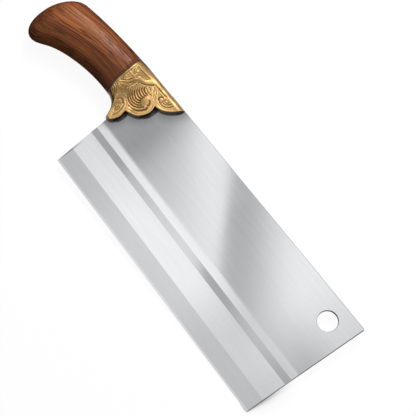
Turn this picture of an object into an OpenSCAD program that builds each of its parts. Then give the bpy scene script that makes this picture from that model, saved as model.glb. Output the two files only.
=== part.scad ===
// A Chinese cleaver lying on its side: a ground steel blade with a hanging hole,
// a cast brass bolster with a scalloped front, and a curved hardwood handle.
// X runs along the cutting edge towards the toe, Y from the edge to the spine, Z up.
// The origin is the middle of the bottom of the box round the whole cleaver.

/* [Blade] */
// Length of the cutting edge from heel to toe
edge_length = 210; // [180:1:240]
// Height of the blade at the heel, square to the edge
heel_height = 88.3; // [82:0.1:98]
// Height of the blade at the toe, square to the edge
toe_height = 93.5; // [86:0.1:104]
// Lean of the heel line back from square to the edge, in degrees
heel_rake = 4.8; // [3:0.1:7]
// Lean of the toe line forward from square to the edge, in degrees
toe_rake = 2.3; // [0:0.1:5]
// Thickness of the plate at the spine
spine_thickness = 3.2; // [2.9:0.05:3.8]
// Radius of the corner where the toe meets the spine
spine_corner_radius = 1; // [0.6:0.1:4]
// Radius of the corner where the toe meets the edge
edge_corner_radius = 0.8; // [0.3:0.1:2]
// Width of the chamfer along both edges of the spine
spine_chamfer = 0.4; // [0.2:0.05:0.7]

/* [Grind] */
// Thickness left along the cutting edge
edge_land = 0.1; // [0.05:0.01:0.3]
// Height of the narrow sharpened bevel
sharp_height = 1.3; // [0.8:0.1:2.5]
// Thickness of the plate at the top of the sharpened bevel
sharp_thickness = 0.5; // [0.35:0.05:0.8]
// Height of the top of the cutting bevel
cutting_height = 13; // [9:0.5:18]
// Thickness of the plate at the top of the cutting bevel
cutting_thickness = 1.8; // [1.2:0.05:2]
// Height of the top of the long upper bevel
upper_height = 29; // [24:0.5:33]
// Thickness of the plate at the top of the upper bevel
upper_thickness = 2.3; // [2.15:0.05:2.6]
// Height of the deepest line of the shallow hollow
hollow_height = 34.4; // [33.5:0.1:37]
// Thickness of the plate at the deepest line of the hollow
hollow_thickness = 2.1; // [1.7:0.05:2.15]
// Height at which the hollow has faded into the flat body
fade_height = 41.5; // [39:0.1:46]
// Thickness of the plate where the flat body begins
body_thickness = 2.6; // [2.4:0.05:2.9]

/* [Hanging hole] */
// Diameter of the hanging hole
hole_diameter = 14; // [8:0.1:18]
// Distance from the toe line to the centre of the hole
hole_from_toe = 18.3; // [13:0.1:40]
// Distance from the spine to the centre of the hole
hole_from_spine = 15.5; // [12:0.5:30]
// Width of the chamfer round both mouths of the hole
hole_chamfer = 0.3; // [0.1:0.05:0.5]

/* [Joint of bolster and handle] */
// Distance from the heel corner of the edge back to the middle of the joint
joint_setback = 20.2; // [18.5:0.1:24]
// Distance from the level of the spine down to the middle of the joint
joint_drop = 17.1; // [16.5:0.1:18.5]
// Lean of the joint back from square to the edge, in degrees
joint_slant = 7; // [3:0.5:10]
// Width of the handle at the joint
joint_width = 32.6; // [30:0.1:34]
// Thickness of the handle at the joint
joint_thickness = 23; // [20:0.5:26]
// Depth over which the sides of the joint round off
joint_round = 12; // [8:0.5:15]
// Thickness of the spacer between bolster and handle
spacer_thickness = 0.6; // [0.4:0.1:2]

/* [Bolster] */
// Thickness of the bolster over its scalloped front
lobe_thickness = 11.6; // [9:0.2:14]
// Distance from the heel corner of the edge forward to the upper tip
upper_tip_reach = 24.1; // [20:0.1:30]
// Height of the lower tip above the cutting edge
lower_tip_height = 43; // [41.5:0.1:44.5]
// Depth over which the back of the bolster rounds off
back_round = 4.5; // [3:0.5:7]
// Depth over which the hollow underside of the bolster rounds off
belly_round = 2; // [1:0.25:3]
// Distance that the closed back of the bolster reaches in front of the heel corner
closed_reach = 10; // [4:0.5:16]
// Thickness of brass that closes the back over the blade
closed_wall = 4; // [2.5:0.5:6]

/* [Pins and tang] */
// Diameter of the pins through bolster and blade
pin_diameter = 3.5; // [2:0.25:5]
// Diameter of the tang rod
rod_diameter = 8; // [6:0.5:10]
// Length of the tang rod inside the handle
rod_in_handle = 50; // [30:1:55]
// Length of the tang rod inside the bolster
rod_in_bolster = 12; // [10:0.5:13]
// Length of the blade's stub that is welded into the end of the rod
stub_overlap = 6; // [4:0.5:8]
// Thickness of the bedding round the rod
bedding_wall = 1.2; // [0.8:0.1:2.5]
// Depth of the bedding past the end of the rod
bedding_end = 3; // [1:0.5:6]

/* [Handle] */
// Length of the handle from the middle of the joint to the end of the butt
handle_length = 73; // [67:0.1:100]
// Drop of the end of the butt below the middle of the joint
butt_drop = 15.3; // [11:0.1:19]
// Distance from the end of the butt forward to the crown, where the back turns down
crown_from_butt = 14.7; // [11:0.1:20]
// Rise of the crown above the middle of the joint
crown_rise = 9.3; // [7:0.1:12]
// Distance from the end of the butt forward to the lowest point of the hook
hook_from_butt = 9.1; // [8:0.1:14]
// Drop of the lowest point of the hook below the middle of the joint
hook_drop = 35.3; // [30:0.1:38]
// Thickness of the handle at the butt
butt_thickness = 26; // [23:0.5:30]
// Length over which the butt rounds off in thickness
butt_round = 11; // [6:0.5:16]
// Roundness of the handle's section, where 2 is an ellipse
section_power = 2.25; // [2:0.05:3]

/* [Fits] */
// Gap on each face of the blade in the bolster's slot
slot_clearance = 0.05; // [0.02:0.01:0.15]
// Gap all round the tang rod in the bolster and the spacer
rod_clearance = 0.1; // [0.05:0.01:0.3]

/* [Hidden] */
$fn = 72;
margin = 1;
steel = [0.76, 0.77, 0.78];
brass = [0.80, 0.63, 0.36];
black = [0.10, 0.09, 0.09];
resin = [0.62, 0.53, 0.36];
rosewood = [0.42, 0.20, 0.11];

// Outline of the blade: its four corners, and lines between them
toe_lean = tan(toe_rake);
heel_lean = tan(heel_rake);
heel_corner = [0, 0];
toe_corner = [edge_length, 0];
toe_top = [edge_length + toe_height * toe_lean, toe_height];
heel_top = [-heel_height * heel_lean, heel_height];
spine_slope = (toe_height - heel_height) / (toe_top.x - heel_top.x);
spine_angle = atan(spine_slope);
function spine_y(x) = heel_height + (x - heel_top.x) * spine_slope;
function heel_x(y) = -y * heel_lean;
function toe_x(y) = edge_length + y * toe_lean;

// Points of a rounded corner at c, between the directions towards a and b
function rounded(a, c, b, r, steps = 8) =
    let (
        u = (a - c) / norm(a - c),
        v = (b - c) / norm(b - c),
        half = acos(u * v) / 2,
        middle = c + (u + v) / norm(u + v) * r / sin(half),
        from = c + u * r / tan(half) - middle,
        to = c + v * r / tan(half) - middle,
        start = atan2(from.y, from.x),
        turn = (atan2(to.y, to.x) - start + 540) % 360 - 180
    )
    [for (i = [0 : steps]) middle + r * [cos(start + turn * i / steps), sin(start + turn * i / steps)]];

// The joint's own frame: u runs forward along the tang, v up towards the spine
joint_middle = [-joint_setback, heel_height - joint_drop];
along = [cos(joint_slant), sin(joint_slant)];
across = [-sin(joint_slant), cos(joint_slant)];
function from_joint(u, v) = joint_middle + u * along + v * across;
module at_joint() translate([joint_middle.x, joint_middle.y, 0]) rotate([0, 0, joint_slant]) children();

// Inside the bolster the blade's back is cut down, and a stub runs back to the rod
stub_end = rod_in_bolster - stub_overlap;
stub_half = rod_diameter / 2;
step_top = spine_y(closed_reach) - closed_wall;
step_heel = [heel_x(step_top), step_top];
stub_reach = (heel_x(joint_middle.y) - joint_middle.x) / along.x;
stub_outline = [
    from_joint(stub_reach + margin, -stub_half),
    from_joint(stub_reach + margin, stub_half),
    from_joint(stub_end, stub_half),
    from_joint(stub_end, -stub_half),
];
blade_outline = concat(
    [heel_corner],
    rounded(heel_corner, toe_corner, toe_top, edge_corner_radius),
    rounded(toe_corner, toe_top, heel_top, spine_corner_radius),
    [[closed_reach, spine_y(closed_reach)], [closed_reach, step_top], step_heel]
);

// Half thickness of the plate against height, from the edge to the spine
fade_steps = 6;
hollow_depth = (body_thickness - hollow_thickness) / 2;
fade_profile = [
    for (i = [0 : fade_steps])
        let (s = i / fade_steps, depth = hollow_depth * (1 - s) * (1 - s))
        [hollow_height + s * (fade_height - hollow_height), body_thickness / 2 - depth]
];
half_profile = concat(
    [
        [0, edge_land / 2],
        [sharp_height, sharp_thickness / 2],
        [cutting_height, cutting_thickness / 2],
        [upper_height, upper_thickness / 2]
    ],
    fade_profile,
    [[max(toe_height, heel_height) + margin, spine_thickness / 2]]
);
function mirrored(points) =
    concat(points, [for (i = [len(points) - 1 : -1 : 0]) [points[i].x, -points[i].y]]);
function half_thickness(y) = lookup(y, half_profile);
hole_middle = let (y = spine_y(toe_top.x - hole_from_toe) - hole_from_spine) [toe_x(y) - hole_from_toe, y];

// Point at t on a cubic curve with the four control points p
function bezier(p, t) =
    pow(1 - t, 3) * p[0] + 3 * t * pow(1 - t, 2) * p[1] + 3 * t * t * (1 - t) * p[2] + pow(t, 3) * p[3];
function curve(p, steps = 10, first = 0) = [for (i = [first : steps]) bezier(p, i / steps)];
function mix(a, b, t) = a + (b - a) * t;
function ease(t) = let (s = min(1, max(0, t))) s * s * (3 - 2 * s);

// A cross-section that stands on the chord from the point low to the point high,
// half_t thick to each side, whose ends round off over the depths cap_low and cap_high
section_steps = 24;
function power(value, exponent) = sign(value) * pow(abs(value), exponent);
function section(low, high, half_t, cap_low, cap_high) =
    let (a = norm(high - low) / 2, middle = (low + high) / 2, up = (high - low) / (2 * a))
    [
        for (i = [0 : 2 * section_steps - 1])
            let (
                angle = (i + 0.5) * 180 / section_steps,
                cap = cos(angle) > 0 ? min(cap_high, a) : min(cap_low, a),
                d = sign(cos(angle)) * (a - cap) + cap * power(cos(angle), 2 / section_power),
                p = middle + up * d
            )
            [p.x, p.y, half_t * power(sin(angle), 2 / section_power)]
    ];

// A solid through a row of sections, closed flat at the first one and,
// where a last point is given, drawn in to that point
module loft(rings, last = undef) {
    n = len(rings[0]);
    m = len(rings);
    points = [for (ring = rings) each ring];
    sides = [
        for (k = [0 : m - 2], i = [0 : n - 1])
            let (a = k * n + i, b = k * n + (i + 1) % n)
            each [[a, b, b + n], [a, b + n, a + n]]
    ];
    first_cap = [[for (i = [n - 1 : -1 : 0]) i]];
    last_cap = is_undef(last)
        ? [[for (i = [0 : n - 1]) (m - 1) * n + i]]
        : [for (i = [0 : n - 1]) [(m - 1) * n + i, (m - 1) * n + (i + 1) % n, m * n]];
    polyhedron(is_undef(last) ? points : concat(points, [last]), concat(first_cap, sides, last_cap));
}

// Rails of the handle: its back and its underside, from the joint to the butt
back_start = from_joint(-spacer_thickness, joint_width / 2);
belly_start = from_joint(-spacer_thickness, -joint_width / 2);
crown = joint_middle + [crown_from_butt - handle_length, crown_rise];
hook = joint_middle + [hook_from_butt - handle_length, -hook_drop];
butt = joint_middle + [-handle_length, -butt_drop];
hook_rise = joint_width * 0.19;
hook_neck = hook + [joint_width * 0.35, hook_rise];
back_rail = [back_start, mix(back_start, crown, 0.35) + [0, 1.5], crown + [13.7, 3], crown];
crown_rail = [crown, crown + [-8.9, -1.8], butt + [0, 7.4], butt];
belly_rail = [belly_start, belly_start + [-16.8, 0.9], hook_neck + [12.5, 8.4], hook_neck];
hook_rail = [hook_neck, hook_neck + [-4, -2.8], hook + [4.2, 0], hook];
butt_rail = [hook, hook + [-4.6, 0], butt + [0, -14.3], butt];
hook_share = 0.35;
function back_at(s) = s <= 1 ? bezier(back_rail, s) : bezier(crown_rail, s - 1);
function belly_at(s) =
    s <= 1 ? bezier(belly_rail, s)
    : s - 1 <= hook_share ? bezier(hook_rail, (s - 1) / hook_share)
    : bezier(butt_rail, (s - 1 - hook_share) / (1 - hook_share));
function handle_half(s) =
    let (
        middle = (back_at(s) + belly_at(s)) / 2,
        left = min(1, (middle.x - butt.x) / butt_round)
    )
    mix(joint_thickness, butt_thickness, ease(s / 1.2)) / 2 * sqrt(1 - pow(1 - left, 2));
function handle_cap(s) = mix(joint_round, joint_width, ease(s));
grip_steps = 16;
butt_steps = 20;
handle_stations = concat(
    [for (i = [0 : grip_steps - 1]) i / grip_steps],
    [for (i = [0 : butt_steps - 1]) 1 + sin(90 * i / butt_steps)]
);
handle_rings = [
    for (s = handle_stations)
        section(belly_at(s), back_at(s), handle_half(s), handle_cap(s), handle_cap(s))
];

// Rails of the bolster: its back runs on to the spine, its belly to the lower tip
lower_tip = [heel_x(lower_tip_height) - 0.9, lower_tip_height];
upper_tip = [upper_tip_reach, spine_y(upper_tip_reach)];
bolster_back_start = from_joint(0, joint_width / 2);
bolster_belly_start = from_joint(0, -joint_width / 2);
neck_top = [heel_x(0) - 3, spine_y(-3) - 0.15];
back_neck_rail = [bolster_back_start, bolster_back_start + [6, 0.8], neck_top - [6, 0.2], neck_top];
concave_rail = [bolster_belly_start, bolster_belly_start + [7.3, -1.1], lower_tip + [-2.8, 7.4], lower_tip];
neck_steps = 12;
lobe_half = lobe_thickness / 2;
function neck_share(s) = ease(s / 0.95);
neck_rings = [
    for (i = [0 : neck_steps])
        let (s = i / neck_steps)
        section(
            bezier(concave_rail, s), bezier(back_neck_rail, s),
            mix(joint_thickness / 2, lobe_half, neck_share(s)),
            mix(joint_round, belly_round, neck_share(s)), mix(joint_round, back_round, neck_share(s))
        )
];
front_x = upper_tip.x + 3 * margin;
front_ring = section(
    [front_x, lower_tip.y], [front_x, spine_y(front_x)], lobe_half, belly_round, back_round
);

// The scalloped front: three lobes that meet at two cusps
upper_cusp = upper_tip - [14.2, 14.9];
lower_cusp = [lower_tip.x + 4.8, lower_tip.y + 13.2];
upper_lobe = [upper_tip, upper_tip - [1.8, 6.4], upper_cusp + [6.8, 0.6], upper_cusp];
middle_lobe = [upper_cusp, upper_cusp + [2.8, -6.5], lower_cusp + [7.9, 2.3], lower_cusp];
lower_lobe = [lower_cusp, lower_cusp + [1.4, -4.2], lower_tip + [5.4, 3], lower_tip + [0.9, -0.1]];
behind_x = joint_middle.x - joint_width;
scalloped_outline = concat(
    [upper_tip + [0.9, 3], upper_tip],
    curve(upper_lobe, first = 1), curve(middle_lobe, first = 1), curve(lower_lobe, first = 1),
    [lower_tip + [-1, -2], [behind_x, lower_tip.y - 2], [behind_x, upper_tip.y + 3]]
);

// Pins: one under the boss of the middle lobe, one under the curl of the upper lobe
boss = [2.7, joint_middle.y - 0.6];
curl = upper_tip - [16, 8.6];
pin_places = [boss, curl];

// Box round the whole cleaver, for the origin
low_x = butt.x;
high_x = max([for (p = blade_outline) p.x]);
high_y = max([for (p = blade_outline) p.y]);
rest_z = max([for (ring = handle_rings) for (p = ring) p.z]);
module in_row_frame() translate([-(low_x + high_x) / 2, -high_y / 2, rest_z]) children();

// A flat plate of the given outline, centred on the plane of the blade
module plate(outline, thickness) linear_extrude(height = thickness, center = true) polygon(outline);

module blade_outline_solid(thickness) {
    plate(blade_outline, thickness);
    plate(stub_outline, thickness);
}

// The ground cross-section, drawn out along the edge
module ground_bar() {
    length = toe_top.x - from_joint(stub_end, stub_half).x + 20 * margin;
    translate([from_joint(stub_end, stub_half).x - 10 * margin, 0, 0])
        rotate([90, 0, 90]) linear_extrude(height = length) polygon(mirrored(half_profile));
}

// A roof over the spine, whose 45 degree sides leave a chamfer along both of its edges
module spine_roof() {
    ridge = half_thickness(heel_height) - spine_chamfer;
    depth = 2 * toe_height;
    translate([heel_top.x, heel_top.y, 0]) rotate([0, 0, spine_angle]) rotate([90, 0, 90])
        translate([0, 0, -edge_length])
            linear_extrude(height = 3 * edge_length)
                polygon([[ridge, 0], [-depth, ridge + depth], [-depth, -ridge - depth]]);
}

module pin_holes() for (p = pin_places) translate([p.x, p.y, 0])
    cylinder(d = pin_diameter, h = 2 * joint_thickness, center = true);

module hanging_hole() {
    half = half_thickness(hole_middle.y);
    translate([hole_middle.x, hole_middle.y, 0]) {
        cylinder(d = hole_diameter, h = 4 * spine_thickness, center = true);
        for (side = [0, 1]) mirror([0, 0, side]) translate([0, 0, half - hole_chamfer])
            cylinder(d1 = hole_diameter, d2 = hole_diameter + 4 * hole_chamfer, h = 2 * hole_chamfer);
    }
}

module blade() color(steel) difference() {
    intersection() {
        ground_bar();
        blade_outline_solid(4 * spine_thickness);
        spine_roof();
    }
    hanging_hole();
    pin_holes();
}

// A rod along the tang's axis, from u to u + length
module along_tang(u, length, diameter) at_joint() translate([u, 0, 0]) rotate([0, 90, 0])
    cylinder(d = diameter, h = length);

// The rod's front end is slotted for the blade's stub, its back end is bevelled
module tang_rod() color(steel) difference() {
    union() {
        along_tang(-rod_in_handle + margin, rod_in_handle + rod_in_bolster - margin, rod_diameter);
        at_joint() translate([-rod_in_handle, 0, 0]) rotate([0, 90, 0])
            cylinder(d1 = rod_diameter - 2 * margin, d2 = rod_diameter, h = margin);
    }
    at_joint() translate([stub_end, -rod_diameter, -spine_thickness / 2])
        cube([rod_diameter + stub_overlap, 2 * rod_diameter, spine_thickness]);
}

// The slot in the bolster follows the blade's shoulders and runs out at the front
slot_outline = [
    [heel_x(-margin), -margin],
    [front_x + margin, -margin],
    [front_x + margin, upper_tip.y + 4 * margin],
    [closed_reach, upper_tip.y + 4 * margin],
    [closed_reach, step_top],
    step_heel
];

module bolster() color(brass) difference() {
    intersection() {
        loft(concat(neck_rings, [front_ring]));
        plate(scalloped_outline, 2 * joint_thickness);
    }
    plate(slot_outline, spine_thickness + 2 * slot_clearance);
    plate(stub_outline, spine_thickness + 2 * slot_clearance);
    along_tang(-margin, rod_in_bolster + margin + slot_clearance, rod_diameter + 2 * rod_clearance);
    pin_holes();
}

// The pins are filed flush with the brass
module bolster_pins() color(brass) for (p = pin_places) translate([p.x, p.y, 0])
    cylinder(d = pin_diameter, h = lobe_thickness, center = true);

// A thin plate with the outline of the joint
module joint_plate(u, thickness) {
    rings = [
        for (t = [u - thickness, u])
            section(
                from_joint(t, -joint_width / 2), from_joint(t, joint_width / 2),
                joint_thickness / 2, joint_round, joint_round
            )
    ];
    loft(rings);
}

module fibre_spacer() color(black) difference() {
    joint_plate(0, spacer_thickness);
    along_tang(-spacer_thickness - margin, spacer_thickness + 2 * margin, rod_diameter + 2 * rod_clearance);
}

module tang_bedding() color(resin) difference() {
    tang_socket();
    along_tang(-rod_in_handle, rod_in_handle + margin, rod_diameter);
}

module tang_socket(extra = 0) along_tang(
    -rod_in_handle - bedding_end, rod_in_handle + bedding_end - spacer_thickness + extra,
    rod_diameter + 2 * bedding_wall
);

module handle() color(rosewood) difference() {
    loft(handle_rings, [butt.x, butt.y, 0]);
    tang_socket(margin);
}

in_row_frame() blade();
in_row_frame() tang_rod();
in_row_frame() bolster();
in_row_frame() bolster_pins();
in_row_frame() fibre_spacer();
in_row_frame() tang_bedding();
in_row_frame() handle();
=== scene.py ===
"""Dresses a Chinese cleaver: ground steel blade, carved brass bolster, rosewood handle, white studio."""

import math

import bmesh
import bpy
import numpy as np
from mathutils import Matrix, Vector


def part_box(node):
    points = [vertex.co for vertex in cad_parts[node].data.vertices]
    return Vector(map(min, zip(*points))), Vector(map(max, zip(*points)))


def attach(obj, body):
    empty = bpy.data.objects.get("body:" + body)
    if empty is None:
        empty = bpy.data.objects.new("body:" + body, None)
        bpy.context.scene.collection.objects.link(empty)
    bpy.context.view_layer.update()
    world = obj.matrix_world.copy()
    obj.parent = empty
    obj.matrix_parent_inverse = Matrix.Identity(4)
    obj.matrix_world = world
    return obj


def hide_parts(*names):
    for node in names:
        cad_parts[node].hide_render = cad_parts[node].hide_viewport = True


bl_info = {
    "name": "Chinese cleaver",
    "version": (1, 0, 0),
    "blender": (4, 5, 0),
    "location": "View3D > Sidebar > Cleaver",
    "description": "Finishes a cleaver's blade, bolster and handle, and sets a white studio round it",
    "category": "Object",
}

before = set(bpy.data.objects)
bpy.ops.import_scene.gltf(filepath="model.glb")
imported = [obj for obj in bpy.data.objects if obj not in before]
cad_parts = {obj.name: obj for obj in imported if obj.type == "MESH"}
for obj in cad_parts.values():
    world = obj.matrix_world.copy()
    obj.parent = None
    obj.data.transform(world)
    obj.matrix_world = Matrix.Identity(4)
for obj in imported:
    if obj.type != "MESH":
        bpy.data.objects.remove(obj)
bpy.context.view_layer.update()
MM = 0.001

# The cleaver's own drawing has its origin at the heel corner of the edge, in the middle of the blade.
# Length of the cutting edge, and how far the blade's farthest corner lies from the heel, in millimetres
EDGE_LENGTH = 210.0
TOE_REACH = 213.713
BLADE_LOW, BLADE_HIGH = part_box("blade")
HEEL = Vector((BLADE_HIGH.x - TOE_REACH * MM, BLADE_LOW.y, (BLADE_LOW.z + BLADE_HIGH.z) / 2))


def place(x, y, z=0.0):
    """A point of the cleaver's drawing, in millimetres, as a point of the scene."""
    return HEEL + Vector((x, y, z)) * MM


class CleaverSizes(bpy.types.PropertyGroup):
    """Sizes of the carving and the studio."""
    voxel: bpy.props.FloatProperty(
        name="Carving grid", description="Size of the casting's mesh faces",
        default=0.27 * MM, subtype="DISTANCE")
    comb_depth: bpy.props.FloatProperty(
        name="Comb depth", description="Depth of the grooves that sweep under the boss",
        default=0.62 * MM, subtype="DISTANCE")
    camera_distance: bpy.props.FloatProperty(
        name="Camera distance", description="Distance from the camera to the middle of the picture",
        default=0.9, subtype="DISTANCE")
    camera_height: bpy.props.FloatProperty(
        name="Camera elevation", description="Angle of the view above the level of the floor",
        default=math.radians(75.0), subtype="ANGLE")
    camera_turn: bpy.props.FloatProperty(
        name="Camera azimuth", description="Direction of the camera round the cleaver, from +X",
        default=math.radians(-36.795), subtype="ANGLE")
    camera_view: bpy.props.FloatProperty(
        name="Field of view", description="Angle that the picture takes in",
        default=math.radians(17.4825), subtype="ANGLE")


class CleaverColours(bpy.types.PropertyGroup):
    """Colours of the finishes."""
    steel: bpy.props.FloatVectorProperty(
        name="Steel", description="Ground steel", subtype="COLOR", default=(0.795, 0.80, 0.815))
    # Steel of the cut faces: partly their own duller finish, partly painted shade, as it is nearly black
    sheared_and_shaded_steel: bpy.props.FloatVectorProperty(
        name="Sheared steel", description="Dull steel of the cut sides and the hole's wall",
        subtype="COLOR", default=(0.02, 0.02, 0.02))
    brass: bpy.props.FloatVectorProperty(
        name="Brass", description="Rubbed brass on the ridges", subtype="COLOR",
        default=(0.47, 0.295, 0.12))
    patina: bpy.props.FloatVectorProperty(
        name="Patina", description="Brown brass in the grooves", subtype="COLOR",
        default=(0.16, 0.088, 0.032))
    # Nearly black brass of the casting's walls: partly patina, mostly painted shade
    old_and_shaded_brass: bpy.props.FloatVectorProperty(
        name="Old brass", description="Nearly black brass on the sides", subtype="COLOR",
        default=(0.055, 0.036, 0.015))
    wood_light: bpy.props.FloatVectorProperty(
        name="Light wood", description="Light grain of the handle", subtype="COLOR",
        default=(0.52, 0.162, 0.041))
    wood_middle: bpy.props.FloatVectorProperty(
        name="Middle wood", description="Main colour of the handle", subtype="COLOR",
        default=(0.28, 0.070, 0.015))
    # Dark wood: the streaks' colour, also used for painted shade
    wood_dark_and_shade: bpy.props.FloatVectorProperty(
        name="Dark wood", description="Dark streaks of the handle", subtype="COLOR",
        default=(0.030, 0.008, 0.0035))
    fibre: bpy.props.FloatVectorProperty(
        name="Fibre", description="Black spacer", subtype="COLOR", default=(0.02, 0.015, 0.013))
    resin: bpy.props.FloatVectorProperty(
        name="Resin", description="Bedding round the tang", subtype="COLOR", default=(0.34, 0.25, 0.12))


# Shader building blocks

def new_material(name):
    """An empty material, with its nodes, its links and its surface shader."""
    material = bpy.data.materials.new(name)
    material.use_nodes = True
    nodes, links = material.node_tree.nodes, material.node_tree.links
    shader = nodes["Principled BSDF"]
    return material, nodes, links, shader


def add(nodes, kind, **settings):
    """A node with its settings."""
    node = nodes.new(kind)
    for name, value in settings.items():
        setattr(node, name, value)
    return node


def math_node(nodes, links, operation, a, b=None, c=None, clamp=False):
    """A Math node; each of a, b and c is a number or an output."""
    node = add(nodes, "ShaderNodeMath", operation=operation, use_clamp=clamp)
    for i, value in enumerate((a, b, c)):
        if value is None:
            continue
        if isinstance(value, (int, float)):
            node.inputs[i].default_value = value
        else:
            links.new(value, node.inputs[i])
    return node.outputs[0]


def smooth_step(nodes, links, value, low, high):
    """0 below low and 1 above high, with a soft turn between."""
    node = add(nodes, "ShaderNodeMapRange", interpolation_type="SMOOTHSTEP")
    links.new(value, node.inputs["Value"])
    node.inputs["From Min"].default_value = low
    node.inputs["From Max"].default_value = high
    return node.outputs["Result"]


def split(nodes, links, vector):
    """The X, Y and Z outputs of a vector."""
    node = nodes.new("ShaderNodeSeparateXYZ")
    links.new(vector, node.inputs[0])
    return node.outputs


def mix_colour(nodes, links, factor, a, b):
    """A colour mixed from a to b; each is a colour or an output."""
    node = add(nodes, "ShaderNodeMix", data_type="RGBA")
    for socket, value in ((node.inputs["Factor"], factor), (node.inputs[6], a), (node.inputs[7], b)):
        if isinstance(value, bpy.types.NodeSocket):
            links.new(value, socket)
        elif isinstance(value, (int, float)):
            socket.default_value = value
        else:
            socket.default_value = (*value[:3], 1.0)
    return node.outputs[2]


def new_group(name, inputs, outputs):
    """An empty node group with float, colour or vector sockets."""
    kinds = {"f": "NodeSocketFloat", "c": "NodeSocketColor", "v": "NodeSocketVector"}
    group = bpy.data.node_groups.new(name, "ShaderNodeTree")
    for socket, kind, default in inputs:
        made = group.interface.new_socket(name=socket, in_out="INPUT", socket_type=kinds[kind])
        if default is not None:
            made.default_value = default
    for socket, kind in outputs:
        group.interface.new_socket(name=socket, in_out="OUTPUT", socket_type=kinds[kind])
    entry = group.nodes.new("NodeGroupInput")
    leave = group.nodes.new("NodeGroupOutput")
    return group, group.nodes, group.links, entry, leave


def place_group(nodes, links, group, **values):
    """A group in a material; each value is a number, a colour or an output, by socket name."""
    node = nodes.new("ShaderNodeGroup")
    node.node_tree = group
    for name, value in values.items():
        socket = node.inputs[name]
        if isinstance(value, bpy.types.NodeSocket):
            links.new(value, socket)
        else:
            socket.default_value = value
    return node


def streaks_group():
    """Fine lines drawn out along X, for grinding marks and for wood fibres."""
    group, nodes, links, entry, leave = new_group(
        "Streaks",
        [("Vector", "v", None), ("Scale", "f", 1000.0), ("Stretch", "f", 40.0), ("Detail", "f", 3.0)],
        [("Value", "f")])
    shrink = math_node(nodes, links, "DIVIDE", 1.0, entry.outputs["Stretch"])
    combine = nodes.new("ShaderNodeCombineXYZ")
    links.new(shrink, combine.inputs[0])
    combine.inputs[1].default_value = 1.0
    combine.inputs[2].default_value = 1.0
    scaled = add(nodes, "ShaderNodeVectorMath", operation="MULTIPLY")
    links.new(entry.outputs["Vector"], scaled.inputs[0])
    links.new(combine.outputs[0], scaled.inputs[1])
    noise = nodes.new("ShaderNodeTexNoise")
    links.new(scaled.outputs[0], noise.inputs["Vector"])
    links.new(entry.outputs["Scale"], noise.inputs["Scale"])
    links.new(entry.outputs["Detail"], noise.inputs["Detail"])
    links.new(noise.outputs["Fac"], leave.inputs["Value"])
    return group


def handling_group():
    """Cloudy wear: a soft mask of where a surface has been handled and where it has dulled."""
    group, nodes, links, entry, leave = new_group(
        "Handling", [("Vector", "v", None), ("Scale", "f", 60.0)], [("Mask", "f"), ("Grit", "f")])
    cloud = nodes.new("ShaderNodeTexNoise")
    cloud.inputs["Detail"].default_value = 4.0
    links.new(entry.outputs["Vector"], cloud.inputs["Vector"])
    links.new(entry.outputs["Scale"], cloud.inputs["Scale"])
    grit = nodes.new("ShaderNodeTexNoise")
    grit.inputs["Detail"].default_value = 2.0
    links.new(entry.outputs["Vector"], grit.inputs["Vector"])
    links.new(math_node(nodes, links, "MULTIPLY", entry.outputs["Scale"], 22.0), grit.inputs["Scale"])
    links.new(smooth_step(nodes, links, cloud.outputs["Fac"], 0.35, 0.68), leave.inputs["Mask"])
    links.new(grit.outputs["Fac"], leave.inputs["Grit"])
    return group


def shared(name, build):
    """A node group, built the first time that it is asked for."""
    return bpy.data.node_groups.get(name) or build()


def bump(nodes, links, shader, height, distance, strength):
    """Feeds a height to the shader's normal."""
    node = nodes.new("ShaderNodeBump")
    node.inputs["Distance"].default_value = distance
    node.inputs["Strength"].default_value = strength
    links.new(height, node.inputs["Height"])
    links.new(node.outputs["Normal"], shader.inputs["Normal"])


# Top of the cutting bevel, in millimetres up from the edge
CUTTING_TOP = 13.0
# The bright strip above the bevels: where it starts and ends at the heel, and how steeply it climbs
STRIP_LOW, STRIP_HIGH, STRIP_RISE = 29.6, 34.75, 0.0034
# How far the toe leans outwards for each millimetre up from the edge
TOE_LEAN = 0.03975


def side_mask(nodes, links):
    """1 on faces square to the blade's flats, 0.45 on chamfers, 0 on the flats and their bevels."""
    normal = split(nodes, links, nodes.new("ShaderNodeTexCoord").outputs["Normal"])
    upright = math_node(nodes, links, "ABSOLUTE", normal["Z"])
    chamfer = math_node(nodes, links, "MULTIPLY", smooth_step(nodes, links, upright, 0.92, 0.80), 0.45)
    return math_node(nodes, links, "MAXIMUM", chamfer, smooth_step(nodes, links, upright, 0.55, 0.25))


# The three lobes of the bolster's front as circles: middle, radius, and reach of the painted shadow on the
# toe's side
LOBES = (((4.5, 93.0), 19.8, 0.4), ((-3.6, 70.0), 14.26, 3.7), ((-10.8, 52.15), 11.8, 3.2))


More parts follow.
